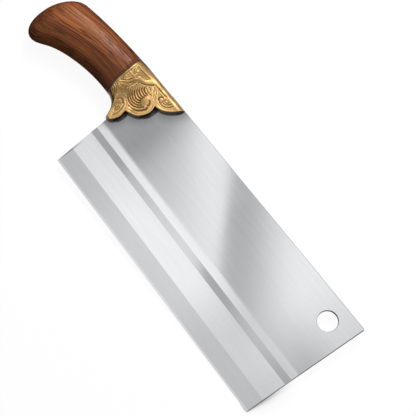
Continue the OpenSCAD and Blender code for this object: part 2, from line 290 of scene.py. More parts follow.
def dull_and_shadow_group():
    """Painted shadow round the bolster's lobes, on steel that is also duller there: a line, broader towards
    the toe where the shadow falls, and a wide soft ring of painted shade.
    """
    group, nodes, links, entry, leave = new_group(
        "DullAndShadow", [("Vector", "v", None)], [("Mask", "f"), ("ShadeHalo", "f")])
    shadow_line, shade_halo = 0.0, 0.0
    for (x, y), radius, reach in LOBES:
        offset = add(nodes, "ShaderNodeVectorMath", operation="SUBTRACT")
        links.new(entry.outputs["Vector"], offset.inputs[0])
        offset.inputs[1].default_value = place(x, y)
        away = add(nodes, "ShaderNodeVectorMath", operation="LENGTH")
        links.new(offset.outputs["Vector"], away.inputs[0])
        outside = math_node(nodes, links, "SUBTRACT", away.outputs["Value"], radius * MM)
        toward_toe = math_node(
            nodes, links, "DIVIDE", split(nodes, links, offset.outputs["Vector"])["X"], away.outputs["Value"])
        facing = math_node(nodes, links, "POWER", smooth_step(nodes, links, toward_toe, 0.62, 1.02), 1.6)
        edge = math_node(nodes, links, "MULTIPLY_ADD", facing, -reach * MM, outside)
        dark = smooth_step(nodes, links, edge, 0.3 * MM, -1.0 * MM)
        shadow_line = math_node(nodes, links, "MAXIMUM", dark, shadow_line)
        shade_halo = math_node(nodes, links, "MAXIMUM", smooth_step(nodes, links, outside, 9.0 * MM, 0.0), shade_halo)
    links.new(shadow_line, leave.inputs["Mask"])
    links.new(shade_halo, leave.inputs["ShadeHalo"])
    return group


def steel_material(colours):
    """Ground steel: fine lengthwise scratches on the flats and bevels; the sheared faces duller and painted
    nearly black as shade, painted shade lines along the toe, the heel and the bolster, and a painted
    reflection on the strip.
    """
    material, nodes, links, shader = new_material("ground_steel")
    place_on = nodes.new("ShaderNodeTexCoord").outputs["Object"]
    parts = split(nodes, links, place_on)

    def m(operation, *values):
        return math_node(nodes, links, operation, *values)

    def step(value, low, high):
        return smooth_step(nodes, links, value, low, high)

    def toned(shade, mask, amount, tone):
        """The shade with the steel times tone mixed in by amount where the mask is 1."""
        factor = mask if amount == 1 else m("MULTIPLY", mask, amount)
        return mix_colour(nodes, links, factor, shade, [c * tone for c in colours.steel])

    along = m("SUBTRACT", parts["X"], HEEL.x)
    height = m("SUBTRACT", parts["Y"], HEEL.y)
    streaks = shared("Streaks", streaks_group)
    fine = place_group(nodes, links, streaks, Vector=place_on, Scale=2600.0, Stretch=60.0, Detail=2.0)
    broad = place_group(nodes, links, streaks, Vector=place_on, Scale=420.0, Stretch=14.0, Detail=3.0)
    wear = place_group(nodes, links, shared("Handling", handling_group), Vector=place_on, Scale=16.0)
    below = m("SUBTRACT", 1.0, step(height, (CUTTING_TOP - 0.12) * MM, (CUTTING_TOP + 0.12) * MM))
    shade = mix_colour(nodes, links, broad.outputs["Value"], [c * 0.95 for c in colours.steel],
                       [min(1.0, c * 1.04) for c in colours.steel])
    shade = toned(shade, below, 0.25, 0.78)
    # Painted shade: a dark line along the rims of the toe and the lower heel
    toe_shade_line = step(m("MULTIPLY_ADD", height, -TOE_LEAN, along),
                   (EDGE_LENGTH - 0.55) * MM, (EDGE_LENGTH - 0.25) * MM)
    heel_shade_line = m("MULTIPLY", step(along, 0.45 * MM, 0.1 * MM), step(height, 24 * MM, 10 * MM))
    shade = toned(shade, m("MAXIMUM", toe_shade_line, m("MULTIPLY", heel_shade_line, 0.6)), 1, 0.3)
    # Painted reflection: the strip is painted lighter than the rest by the heel and darker towards the toe
    lift = m("MULTIPLY_ADD", along, -STRIP_RISE, height)
    strip = m("MULTIPLY", step(lift, (STRIP_LOW - 0.2) * MM, (STRIP_LOW + 0.2) * MM),
              step(lift, (STRIP_HIGH + 0.25) * MM, (STRIP_HIGH - 0.25) * MM))
    shade = toned(shade, m("MULTIPLY", strip, step(along, 65 * MM, 30 * MM)), 1, 1.13)
    shade = toned(shade, m("MULTIPLY", strip, step(along, 30 * MM, 190 * MM)), 0.9, 0.78)
    # Partly real and partly painted shade: the sheared faces and the hole's wall, and half as much the
    # chamfers, are rougher steel painted nearly black without metal, which stands in for their shade
    sides = side_mask(nodes, links)
    shade = mix_colour(nodes, links, sides, shade, colours.sheared_and_shaded_steel)
    bolster_shade = place_group(nodes, links, shared("DullAndShadow", dull_and_shadow_group), Vector=place_on).outputs
    dull_and_shadow = bolster_shade["Mask"]
    # Painted shade: a wide soft ring round the bolster, and a painted shadow line at its lobes, where the
    # steel is also rougher
    shade = toned(shade, bolster_shade["ShadeHalo"], 0.38, 0.1)
    shade = toned(shade, dull_and_shadow, 0.96, 0.05)
    links.new(shade, shader.inputs["Base Color"])
    links.new(m("SUBTRACT", 1.0, sides), shader.inputs["Metallic"])
    shader.inputs["Specular IOR Level"].default_value = 0.0
    gloss = m("MULTIPLY_ADD", fine.outputs["Value"], 0.04, 0.055)
    gloss = m("MULTIPLY_ADD", wear.outputs["Mask"], 0.02, gloss)
    gloss = m("MULTIPLY_ADD", m("MAXIMUM", sides, dull_and_shadow), 0.35, gloss)
    links.new(gloss, shader.inputs["Roughness"])
    bump(nodes, links, shader, fine.outputs["Value"], 0.004 * MM, 0.3)
    return material


def brass_material(colours):
    """Antique brass: rubbed bright on the ridges, brown patina in the grooves and in patches partly painted
    as shade, and nearly black on the walls, partly patina and mostly painted shade.
    """
    material, nodes, links, shader = new_material("antique_brass")
    place_on = nodes.new("ShaderNodeTexCoord").outputs["Object"]
    hollow = add(nodes, "ShaderNodeAttribute", attribute_name="hollow").outputs["Fac"]
    side = add(nodes, "ShaderNodeAttribute", attribute_name="side").outputs["Fac"]
    wear = place_group(nodes, links, shared("Handling", handling_group), Vector=place_on, Scale=170.0)
    uneven = math_node(nodes, links, "MULTIPLY_ADD", wear.outputs["Mask"], 0.2, -0.1)
    brown = smooth_step(nodes, links, math_node(nodes, links, "ADD", hollow, uneven), 0.25, 0.95)
    shade = mix_colour(nodes, links, math_node(nodes, links, "MULTIPLY", wear.outputs["Mask"], 0.16),
                       colours.brass, [c * 0.6 for c in colours.brass])
    shade = mix_colour(nodes, links, brown, shade, colours.patina)
    shade = mix_colour(nodes, links, side, shade, colours.old_and_shaded_brass)
    links.new(shade, shader.inputs["Base Color"])
    shader.inputs["Metallic"].default_value = 1.0
    gloss = math_node(nodes, links, "MULTIPLY_ADD", brown, 0.12, 0.42)
    links.new(gloss, shader.inputs["Roughness"])
    bump(nodes, links, shader, wear.outputs["Grit"], 0.02 * MM, 0.35)
    return material


def wood_material(colours):
    """Rosewood: dark streaks and fine pores drawn out along the bent grain, under a satin oil finish, with
    painted shade towards the ends, the belly and the back.
    """
    material, nodes, links, shader = new_material("rosewood")
    grain = add(nodes, "ShaderNodeAttribute", attribute_name="grain").outputs["Vector"]
    streaks = shared("Streaks", streaks_group)
    broad = place_group(nodes, links, streaks, Vector=grain, Scale=210.0, Stretch=26.0, Detail=2.0)
    narrow = place_group(nodes, links, streaks, Vector=grain, Scale=900.0, Stretch=48.0, Detail=4.0)
    pores = place_group(nodes, links, streaks, Vector=grain, Scale=2400.0, Stretch=14.0, Detail=2.0)

    def m(operation, *values):
        return math_node(nodes, links, operation, *values)

    def step(value, low, high):
        return smooth_step(nodes, links, value, low, high)

    def darkened(shade, share):
        return mix_colour(nodes, links, share, shade, colours.wood_dark_and_shade)

    tone = step(narrow.outputs["Value"], 0.30, 0.66)
    shade = mix_colour(nodes, links, tone, colours.wood_middle, colours.wood_light)
    # Growth lines: thin dark lines where the broad figure passes three of its levels
    for level, width, strength in ((0.44, 0.030, 0.75), (0.52, 0.022, 0.60), (0.60, 0.026, 0.70)):
        gap = m("ABSOLUTE", m("SUBTRACT", broad.outputs["Value"], level))
        shade = darkened(shade, m("MULTIPLY", step(gap, width, width * 0.2), strength))
    pore = step(pores.outputs["Value"], 0.46, 0.30)
    shade = darkened(shade, m("MULTIPLY", pore, 0.40))
    # Painted shade: the wood is darkened towards both ends, towards the belly and, in a narrow strip, along
    # the back
    parts = split(nodes, links, grain)
    ends = m("MAXIMUM",
             m("MULTIPLY", 0.30, step(parts["X"], -52 * MM, -28 * MM)),
             m("MULTIPLY", 0.35, step(parts["X"], -76 * MM, -90 * MM)))
    belly = m("MULTIPLY", step(parts["Y"], 4 * MM, -8 * MM), 0.50)
    back = m("MULTIPLY", step(parts["Y"], 11 * MM, 16 * MM), 0.45)
    shade = darkened(shade, ends)
    shade = darkened(shade, m("ADD", belly, back))
    links.new(shade, shader.inputs["Base Color"])
    links.new(m("MULTIPLY_ADD", pore, 0.2, 0.34), shader.inputs["Roughness"])
    shader.inputs["Specular IOR Level"].default_value = 0.2
    height = m("MULTIPLY_ADD", pore, -1.0, narrow.outputs["Value"])
    bump(nodes, links, shader, height, 0.05 * MM, 0.5)
    return material


def plain_material(name, colour, roughness, metallic=0.0):
    """A finish for the small pieces: the colour with a cloudy, slightly gritty surface."""
    material, nodes, links, shader = new_material(name)
    place_on = nodes.new("ShaderNodeTexCoord").outputs["Object"]
    wear = place_group(nodes, links, shared("Handling", handling_group), Vector=place_on, Scale=120.0)
    shade = mix_colour(nodes, links, wear.outputs["Mask"], colour, [c * 0.7 for c in colour])
    links.new(shade, shader.inputs["Base Color"])
    gloss = math_node(nodes, links, "MULTIPLY_ADD", wear.outputs["Mask"], 0.12, roughness)
    links.new(gloss, shader.inputs["Roughness"])
    shader.inputs["Metallic"].default_value = metallic
    bump(nodes, links, shader, wear.outputs["Grit"], 0.02 * MM, 0.4)
    return material


def finish(piece, material):
    """Gives a piece one material."""
    piece.data.materials.clear()
    piece.data.materials.append(material)


def copy_of(nodes, name, merge=True):
    """One new object with the joined meshes of the named CAD nodes, its doubled points merged if asked."""
    bpy.ops.object.select_all(action="DESELECT")
    for node in nodes:
        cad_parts[node].select_set(True)
    bpy.context.view_layer.objects.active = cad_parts[nodes[0]]
    bpy.ops.object.duplicate()
    if len(nodes) > 1:
        bpy.ops.object.join()
    piece = bpy.context.view_layer.objects.active
    for key in list(piece.keys()):
        del piece[key]
    piece.parent = None
    piece.name = name
    piece.data.name = name
    if merge:
        bpy.ops.object.mode_set(mode="EDIT")
        bpy.ops.mesh.select_all(action="SELECT")
        bpy.ops.mesh.remove_doubles(threshold=0.002 * MM)
        bpy.ops.object.mode_set(mode="OBJECT")
    return piece


def points_of(mesh):
    """The mesh's points in the cleaver's drawing, in millimetres."""
    flat = np.zeros(len(mesh.vertices) * 3)
    mesh.vertices.foreach_get("co", flat)
    return (flat.reshape(-1, 3) - np.array(HEEL)) / MM


def set_points(mesh, points):
    """Puts points of the drawing back in the mesh."""
    mesh.vertices.foreach_set("co", (points * MM + np.array(HEEL)).ravel())
    mesh.update()


def smooth_line(knots):
    """Points along a smooth curve through the knots, six for each gap."""
    knots = np.array(knots, float)
    ends = np.vstack([2 * knots[0] - knots[1], knots, 2 * knots[-1] - knots[-2]])
    t = np.linspace(0, 1, 6, endpoint=False)[:, None]
    rows = []
    for a, b, c, d in zip(ends, ends[1:], ends[2:], ends[3:]):
        rows.append(b + 0.5 * t * (c - a + t * (2 * a - 5 * b + 4 * c - d + t * (3 * (b - c) + d - a))))
    return np.vstack([*rows, knots[-1:]])


def stroke(points, knots, half_width):
    """A stroke's height at each point, 1 on its line and 0 from half_width away, and how far along it is."""
    line = smooth_line(knots)
    share = np.zeros(len(points))
    along = np.zeros(len(points))
    near = np.all((points > line.min(0) - half_width) & (points < line.max(0) + half_width), axis=1)
    here = points[near]
    away = np.full(len(here), half_width)
    position = np.zeros(len(here))
    for i, (start, end) in enumerate(zip(line, line[1:])):
        step = end - start
        t = np.clip((here - start) @ step / max(step @ step, 1e-9), 0, 1)
        gap = np.hypot(*(here - start - t[:, None] * step).T)
        closer = gap < away
        away[closer] = gap[closer]
        position[closer] = (i + t[closer]) / (len(line) - 1)
    share[near] = (1 - (away / half_width) ** 2) ** 2
    along[near] = position
    return share, along


def soft_step(value, low, high):
    """0 below low and 1 above high, with a soft turn between."""
    t = np.clip((value - low) / (high - low), 0, 1)
    return t * t * (3 - 2 * t)


# The bolster's ornament, a traditional cloud scroll, drawn in millimetres from the heel corner.
# Grooves of the comb that sweeps under the boss
COMB = [
    [(-5.4, 78.2), (-5.0, 76.4), (-4.2, 75.2), (-2.8, 74.6), (0.2, 74.5)],
    [(-6.3, 77.4), (-5.9, 75.4), (-4.9, 73.8), (-3.0, 73.0), (-1.0, 72.9), (0.2, 73.3)],
    [(-7.3, 76.8), (-6.9, 74.0), (-5.5, 72.1), (-3.0, 71.0), (-1.0, 71.1), (0.2, 71.7)],
    [(-8.0, 75.6), (-7.5, 72.4), (-5.7, 70.3), (-3.0, 69.1), (-1.0, 69.3), (0.3, 70.1)],
    [(-9.0, 73.6), (-8.2, 71.0), (-6.1, 68.5), (-3.0, 67.05), (-0.6, 67.4), (0.9, 68.5)],
    [(-9.8, 71.6), (-8.6, 69.3), (-6.2, 66.7), (-3.0, 65.35), (0.0, 65.7), (1.9, 67.3)],
    [(-10.8, 70.0), (-9.3, 67.8), (-6.6, 65.2), (-3.3, 63.8), (0.0, 63.9), (2.4, 65.3), (3.6, 66.8)],
    [(-11.2, 67.8), (-9.2, 65.9), (-6.0, 63.3), (-2.6, 62.0), (1.0, 62.4), (4.0, 64.6), (5.6, 67.5)],
    [(-0.9, 59.9), (1.2, 60.3), (4.2, 61.9), (6.5, 64.7), (7.6, 67.6), (7.4, 69.0)],
]
# Lines cut into the casting: half width, depth and line
GROOVES = [
    # border of the joint and of the spine
    (0.50, 0.30, [(-20.3, 82.2), (-20.1, 76.0), (-19.7, 69.0), (-19.3, 64.0), (-18.9, 57.2)]),
    (0.60, 0.40, [(-20.2, 81.9), (-16.0, 81.9), (-11.6, 82.3), (-7.2, 82.9)]),
    (0.55, 0.40, [(-2.4, 83.0), (1.3, 83.4), (5.0, 83.6), (9.9, 84.1)]),
    # corner panel
    (0.45, 0.26, [(-19.6, 80.6), (-16.4, 80.8), (-12.8, 80.6), (-9.6, 81.1)]),
    (0.50, 0.34, [(-19.3, 79.9), (-18.8, 78.2), (-17.8, 77.2), (-15.6, 77.2)]),
    (0.40, 0.26, [(-17.9, 79.8), (-17.6, 78.7), (-16.8, 78.2), (-15.6, 78.5)]),
    (0.40, 0.20, [(-19.6, 76.0), (-17.4, 75.9), (-15.0, 76.1)]),
    # hatch
    (0.50, 0.42, [(-19.6, 74.4), (-17.6, 74.4), (-15.2, 74.6)]),
    (0.45, 0.32, [(-19.2, 74.2), (-19.2, 72.8), (-18.9, 71.6)]),
    (0.40, 0.30, [(-17.7, 74.2), (-17.6, 73.3), (-17.8, 72.4)]),
    (0.40, 0.30, [(-18.4, 72.2), (-17.4, 72.5), (-16.3, 72.2)]),
    (0.40, 0.30, [(-17.9, 71.2), (-17.1, 70.9), (-16.3, 71.4)]),
    (0.60, 0.34, [(-18.9, 69.6), (-18.5, 68.4), (-18.4, 67.2)]),
    (0.40, 0.26, [(-18.2, 70.6), (-17.4, 69.8), (-16.9, 69.4)]),
    (0.55, 0.42, [(-14.6, 75.3), (-14.9, 73.0), (-15.1, 71.4), (-15.9, 70.0), (-17.0, 68.5), (-18.9, 66.4)]),
    # edges of the ribbon
    (0.62, 0.48, [(-2.4, 83.0), (-3.4, 81.2), (-4.7, 79.5), (-6.3, 77.7), (-8.0, 76.7), (-9.3, 75.8),
                  (-10.8, 75.1)]),
    (0.50, 0.40, [(-10.7, 75.2), (-11.3, 73.0), (-11.4, 71.0), (-11.6, 68.8)]),
    (0.40, 0.16, [(-6.9, 82.6), (-8.0, 80.9), (-10.2, 79.6), (-13.0, 78.9), (-14.0, 77.4)]),
    # weave
    (0.45, 0.24, [(-14.6, 68.5), (-12.8, 68.6), (-10.4, 68.6)]),
    (0.45, 0.30, [(-9.2, 75.4), (-9.4, 73.2), (-9.0, 71.2), (-8.2, 69.8)]),
    # waves over the boss
    (0.50, 0.42, [(-4.0, 78.4), (-2.9, 78.9), (-1.8, 78.6), (-0.9, 77.8)]),
    (0.50, 0.42, [(-4.3, 77.0), (-2.2, 76.4), (0.2, 76.0), (2.5, 76.7)]),
    (0.42, 0.30, [(-0.2, 79.9), (1.6, 79.0), (3.2, 77.8), (4.2, 76.5)]),
    (0.42, 0.26, [(1.0, 81.2), (3.0, 79.9), (4.8, 77.9), (6.2, 75.9)]),
    (0.42, 0.22, [(2.4, 82.6), (4.2, 81.0), (5.0, 79.4)]),
    (0.42, 0.20, [(-2.2, 81.6), (-0.6, 80.9), (1.0, 79.6)]),
    # right of the boss, and the rim of the middle lobe
    (0.70, 0.50, [(4.0, 73.7), (5.5, 72.9), (6.7, 71.3), (6.7, 69.4)]),
    (0.45, 0.14, [(0.8, 57.9), (4.9, 59.7), (8.0, 63.0), (9.4, 66.8), (9.5, 70.4), (8.4, 73.4)]),
    # upper lobe
    (0.62, 0.55, [(8.8, 81.9), (7.5, 81.5), (6.8, 80.4), (7.1, 79.1), (8.2, 78.3)]),
    (0.50, 0.38, [(8.0, 78.4), (10.0, 78.0), (12.0, 77.9), (14.0, 78.7), (15.7, 80.2), (16.9, 82.1),
                  (17.3, 84.4)]),
    (0.45, 0.40, [(10.4, 78.4), (10.7, 80.0), (10.3, 81.5), (10.9, 82.9)]),
    (0.45, 0.44, [(10.8, 79.6), (12.6, 80.0), (14.3, 81.3), (15.3, 83.0), (15.4, 84.2)]),
    (0.40, 0.38, [(11.2, 81.0), (12.3, 81.2), (13.4, 82.2), (13.8, 84.0)]),
    (0.36, 0.30, [(11.4, 82.6), (12.2, 83.0), (12.3, 84.2)]),
    (0.45, 0.14, [(10.0, 76.3), (13.0, 76.5), (16.2, 78.5), (18.8, 81.5), (19.8, 84.4)]),
    # lower lobe
    (0.66, 0.50, [(-9.2, 55.9), (-9.1, 57.8), (-8.2, 59.1), (-6.7, 59.4), (-5.4, 58.7), (-4.5, 57.4)]),
    (0.45, 0.38, [(-4.4, 58.6), (-3.0, 56.4), (-2.1, 54.0), (-1.8, 51.4), (-2.2, 48.8), (-3.0, 47.0)]),
    (0.40, 0.44, [(-4.0, 55.0), (-3.5, 53.2), (-3.6, 51.6), (-4.3, 49.8)]),
    (0.42, 0.40, [(-5.2, 55.2), (-4.9, 53.2), (-5.0, 51.4), (-5.4, 50.8)]),
    (0.45, 0.14, [(-3.4, 60.2), (-1.4, 57.4), (-0.3, 54.6), (-0.2, 51.0), (-1.3, 47.6), (-2.3, 45.4)]),
    (0.45, 0.20, [(-9.0, 61.0), (-6.6, 61.3), (-4.4, 60.0)]),
    # hair
    (0.42, 0.36, [(-18.9, 61.6), (-17.2, 61.4), (-15.4, 60.1), (-13.2, 58.4), (-11.9, 57.2)]),
    (0.42, 0.36, [(-18.7, 59.8), (-16.9, 59.6), (-15.0, 58.4), (-12.9, 56.6)]),
    (0.42, 0.34, [(-18.6, 58.2), (-16.7, 58.0), (-14.6, 56.9), (-12.4, 55.4)]),
    (0.40, 0.26, [(-18.4, 56.9), (-16.2, 56.4), (-14.2, 55.4)]),
    (0.42, 0.28, [(-16.4, 63.0), (-14.8, 61.6), (-13.0, 60.2), (-11.6, 58.8)]),
    (0.42, 0.24, [(-14.6, 63.2), (-13.0, 61.9), (-11.2, 60.6)]),
    (0.45, 0.32, [(-17.2, 64.9), (-15.8, 64.2), (-14.6, 65.2), (-13.6, 65.4)]),
]
# Punched dots: place, radius and height, which is below zero
DOTS = [
    ((-13.7, 76.3), 0.65, -0.42), ((-13.5, 78.4), 0.55, -0.25), ((-13.6, 80.6), 0.55, -0.28),
    ((-17.1, 71.7), 0.60, -0.40), ((-16.4, 73.4), 0.5, -0.30), ((-13.3, 70.3), 0.75, -0.45),
    ((-9.6, 73.1), 0.65, -0.42), ((-12.1, 67.2), 0.85, -0.34), ((-14.1, 65.1), 0.70, -0.42),
    ((-17.9, 63.1), 0.75, -0.45), ((-0.9, 59.9), 0.70, -0.50), ((-4.9, 56.2), 0.60, -0.40),
    ((-6.2, 52.3), 0.65, -0.45), ((-3.2, 48.4), 0.5, -0.25), ((-6.6, 77.4), 0.7, -0.45),
]
# Strips that stand proud: half width, height and line
RIDGES = [
    (1.1, 0.22, [(-21.6, 83.6), (-21.2, 76.0), (-20.6, 69.0), (-20.2, 64.0), (-19.6, 56.8)]),
    (2.3, 0.26, [(-4.5, 82.9), (-5.9, 80.4), (-8.4, 78.3), (-11.6, 77.0)]),
    (1.6, 0.22, [(-11.6, 77.0), (-13.0, 75.0), (-13.4, 72.4), (-14.2, 70.6)]),
    (1.1, 0.24, [(-14.2, 70.6), (-15.6, 69.0), (-17.1, 67.2), (-19.0, 65.2)]),
    (0.60, 0.20, [(-15.0, 69.4), (-13.4, 69.3), (-11.9, 69.5)]),
    (0.60, 0.22, [(-9.5, 72.6), (-10.3, 71.0), (-10.9, 69.2)]),
    (0.55, 0.16, [(-12.6, 71.6), (-12.0, 71.3), (-11.9, 70.6)]),
    (0.70, 0.16, [(-9.2, 62.4), (-6.6, 62.5), (-4.0, 61.2)]),
    (0.90, 0.16, [(5.4, 82.5), (7.5, 82.9), (9.3, 82.3), (9.9, 81.0)]),
    (0.60, 0.16, [(-16.6, 63.6), (-15.4, 63.2), (-14.4, 62.4)]),
]
# Domes: middle, radius and height
DOMES = [
    ((2.9, 71.0), 3.9, 0.20), ((8.4, 80.2), 1.5, 0.20), ((-7.0, 57.1), 1.9, 0.24), ((-16.0, 79.6), 0.8, 0.2),
    ((-18.4, 73.4), 0.6, 0.15), ((-16.9, 73.3), 0.6, 0.15), ((-17.6, 69.0), 0.7, 0.15),
]
# Patches darkened towards the patina, partly patina left where there is less polish and partly painted shade:
# middle, radius, how much
PATINA_AND_SHADE_PATCHES = [
    ((2.9, 71.0), 6.5, 0.62), ((-11.8, 64.2), 6.5, 0.58), ((-15.5, 60.5), 6.5, 0.55),
    ((-14.0, 72.6), 4.5, 0.75), ((0.0, 85.3), 9.0, 0.55), ((11.0, 85.8), 9.0, 0.50),
    ((20.5, 85.5), 6.0, 0.60), ((5.5, 59.5), 6.0, 0.55), ((-20.8, 70.0), 5.0, 0.60),
    ((0.5, 50.0), 4.0, 0.45),
]
# How the lower two lobes swell beyond the plain casting: lobe, extent, first and last bearing in degrees
SWELLS = ((1, 0.75, -62, 16), (2, 0.55, -58, 14))


# Half width of the comb's grooves
COMB_WIDTH = 0.74
# Height over the blade's middle at which the scroll is drawn, and how far the camera sees a point move for
# each millimetre above it
FACE_HEIGHT = 6.2
VIEW_LEAN = 0.268 * np.array([-0.80, 0.60])
# The grinder's lines climb a little from heel to toe: the blade's points from and to this height, by how much
# at the heel, and how much more at the toe
CLIMBS = ((28.5, 29.5, 0.6, 0.7), (34.0, 35.0, 0.25, 0.7), (35.2, 41.7, 0.5, 0.9))


def carving(points, comb_depth):
    """How far the ornament stands out of the plain casting, and how deep it is cut, in millimetres."""
    cut = np.zeros(len(points))
    rise = np.zeros(len(points))
    for knots in COMB:
        share, along = stroke(points, knots, COMB_WIDTH)
        cut = np.maximum(cut, comb_depth * share * (0.35 + 0.65 * soft_step(along, 0.05, 0.5)))
    for half_width, depth, knots in GROOVES:
        share, along = stroke(points, knots, half_width)
        cut = np.maximum(cut, depth * share * np.clip(np.minimum(along, 1 - along) / 0.06, 0, 1) ** 0.7)
    for half_width, height, knots in RIDGES:
        rise = np.maximum(rise, height * stroke(points, knots, half_width)[0])
    for middle, radius, height in DOTS + DOMES:
        share = np.clip(1 - (np.hypot(*(points - np.array(middle)).T) / radius) ** 2, 0, 1)
        if height < 0:
            cut = np.maximum(cut, -height * share)
        else:
            rise = np.maximum(rise, height * share)
    return rise, cut


class CLEAVER_OT_blade(bpy.types.Operator):
    """Copies the blade, lets the grinding lines climb a little towards the toe, and gives it its steel"""
    bl_idname = "cleaver.blade"
    bl_label = "Blade"

    def execute(self, context):
        piece = copy_of(["blade"], "ground_blade", merge=False)
        points = points_of(piece.data)
        x, y = points[:, 0], points[:, 1]
        along = np.clip(x / EDGE_LENGTH, 0, 1)
        y += sum((start + more * along) * ((y > low) & (y < high)) for low, high, start, more in CLIMBS)
        set_points(piece.data, points)
        finish(piece, steel_material(context.scene.cleaver_colours))
        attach(piece, "root")
        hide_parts("blade")
        return {"FINISHED"}


class CLEAVER_OT_bolster(bpy.types.Operator):
    """Copies the casting with its flush pins, gives it a fine mesh and carves the scroll on both faces"""
    bl_idname = "cleaver.bolster"
    bl_label = "Bolster"

    def execute(self, context):
        sizes = context.scene.cleaver_sizes
        piece = copy_of(["bolster", "bolster_pins"], "carved_bolster")
        remesh = piece.modifiers.new("Fine grid", "REMESH")
        remesh.mode = "VOXEL"
        remesh.voxel_size = sizes.voxel
        bpy.ops.object.modifier_apply(modifier=remesh.name)
        points = points_of(piece.data)
        normals = np.zeros(len(points) * 3)
        piece.data.vertices.foreach_get("normal", normals)
        flat = soft_step(np.abs(normals.reshape(-1, 3)[:, 2]), 0.45, 0.75)
        outer = soft_step(np.abs(points[:, 2]), 2.6, 3.4)
        weight = flat * outer
        # The scroll is drawn as the camera sees it, so it leans where the casting is thicker or thinner
        lean = (np.abs(points[:, 2:]) - FACE_HEIGHT) * VIEW_LEAN
        rise, cut = carving(points[:, :2] + lean, sizes.comb_depth / MM)
        points[:, 2] += np.sign(points[:, 2]) * (rise - cut) * weight
        for lobe, extent, first, last in SWELLS:
            middle, radius, _ = LOBES[lobe]
            offset = points[:, :2] - np.array(middle)
            reach = np.hypot(*offset.T)
            turn = np.degrees(np.arctan2(offset[:, 1], offset[:, 0]))
            push = soft_step(turn, first, first + 24) * soft_step(turn, last, last - 26)
            push *= extent * soft_step(reach, radius - 5, radius) * (reach < radius + 3)
            points[:, :2] += offset / reach[:, None] * push[:, None]
        set_points(piece.data, points)
        # The cut lines' patina, and the patches' partly painted shade
        hollow = np.clip(cut * weight / 0.45, 0, 1)
        for centre, radius, amount in PATINA_AND_SHADE_PATCHES:
            away = np.hypot(*(points[:, :2] + lean - np.array(centre)).T)
            hollow = np.maximum(hollow, amount * weight * (1 - soft_step(away, radius * 0.25, radius)))
        # Painted shade: the casting's walls and its foot by the blade are marked for nearly black brass,
        # partly patina and mostly painted shade
        tilt = 1 - np.abs(normals.reshape(-1, 3)[:, 2])
        side = np.maximum(soft_step(tilt, 0.40, 0.72), 1 - soft_step(np.abs(points[:, 2]), 2.0, 2.8))
        # The painted shade is lifted on the belly next to the handle
        side *= 1 - 0.85 * soft_step(points[:, 0], 0.0, -6.0) * soft_step(points[:, 1], 63.0, 59.0)
        for name, values in (("hollow", hollow), ("side", side)):
            layer = piece.data.attributes.new(name, "FLOAT", "POINT")
            layer.data.foreach_set("value", values.astype(np.float32))
        bpy.ops.object.shade_smooth()
        finish(piece, brass_material(context.scene.cleaver_colours))
        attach(piece, "root")
        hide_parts("bolster", "bolster_pins")
        return {"FINISHED"}


def along_handle(points):
    """The handle's points on straight grain: across the handle, each line keeps its share of the width."""
    x, y, z = points.T
    stations = np.linspace(x.min() + 9.0, x.max() - 1.0, 24)
    near = [np.abs(x - station) < 3.0 for station in stations]
    back = np.interp(x, stations, [y[mask].max() for mask in near])
    belly = np.interp(x, stations, [y[mask].min() for mask in near])
    return np.column_stack([x, (y - (back + belly) / 2) / (back - belly) * 36.0, z])


class CLEAVER_OT_handle(bpy.types.Operator):
    """Smooths a copy of the handle and lays the wood's grain along its bend"""
    bl_idname = "cleaver.handle"
    bl_label = "Handle"

    def execute(self, context):
        piece = copy_of(["handle"], "rosewood_handle")
        bpy.ops.object.shade_smooth_by_angle(angle=math.radians(38))
        grain = along_handle(points_of(piece.data)) * MM
        layer = piece.data.attributes.new("grain", "FLOAT_VECTOR", "POINT")
        layer.data.foreach_set("vector", grain.astype(np.float32).ravel())
        finish(piece, wood_material(context.scene.cleaver_colours))
        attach(piece, "root")
        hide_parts("handle")
        return {"FINISHED"}


class CLEAVER_OT_fittings(bpy.types.Operator):
    """Gives the spacer, the tang rod and its bedding their finishes"""
    bl_idname = "cleaver.fittings"
    bl_label = "Spacer and tang"

    def execute(self, context):
        colours = context.scene.cleaver_colours
        finish(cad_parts["fibre_spacer"], plain_material("black_fibre", colours.fibre, 0.5))
        finish(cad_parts["tang_bedding"], plain_material("cured_resin", colours.resin, 0.4))
        finish(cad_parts["tang_rod"],
               plain_material("rod_steel", [c * 0.7 for c in colours.steel], 0.35, metallic=1.0))
        return {"FINISHED"}


# The reflection card over the cleaver: height over the blade, middle and half its sides, in metres
CARD_HEIGHT = 0.5
CARD_MIDDLE = (0.17, 0.045)
CARD_HALF = (0.64, 0.27)
# How far the card's pattern is shifted towards the edge, in millimetres of the blade
CARD_SHIFT = 3.8


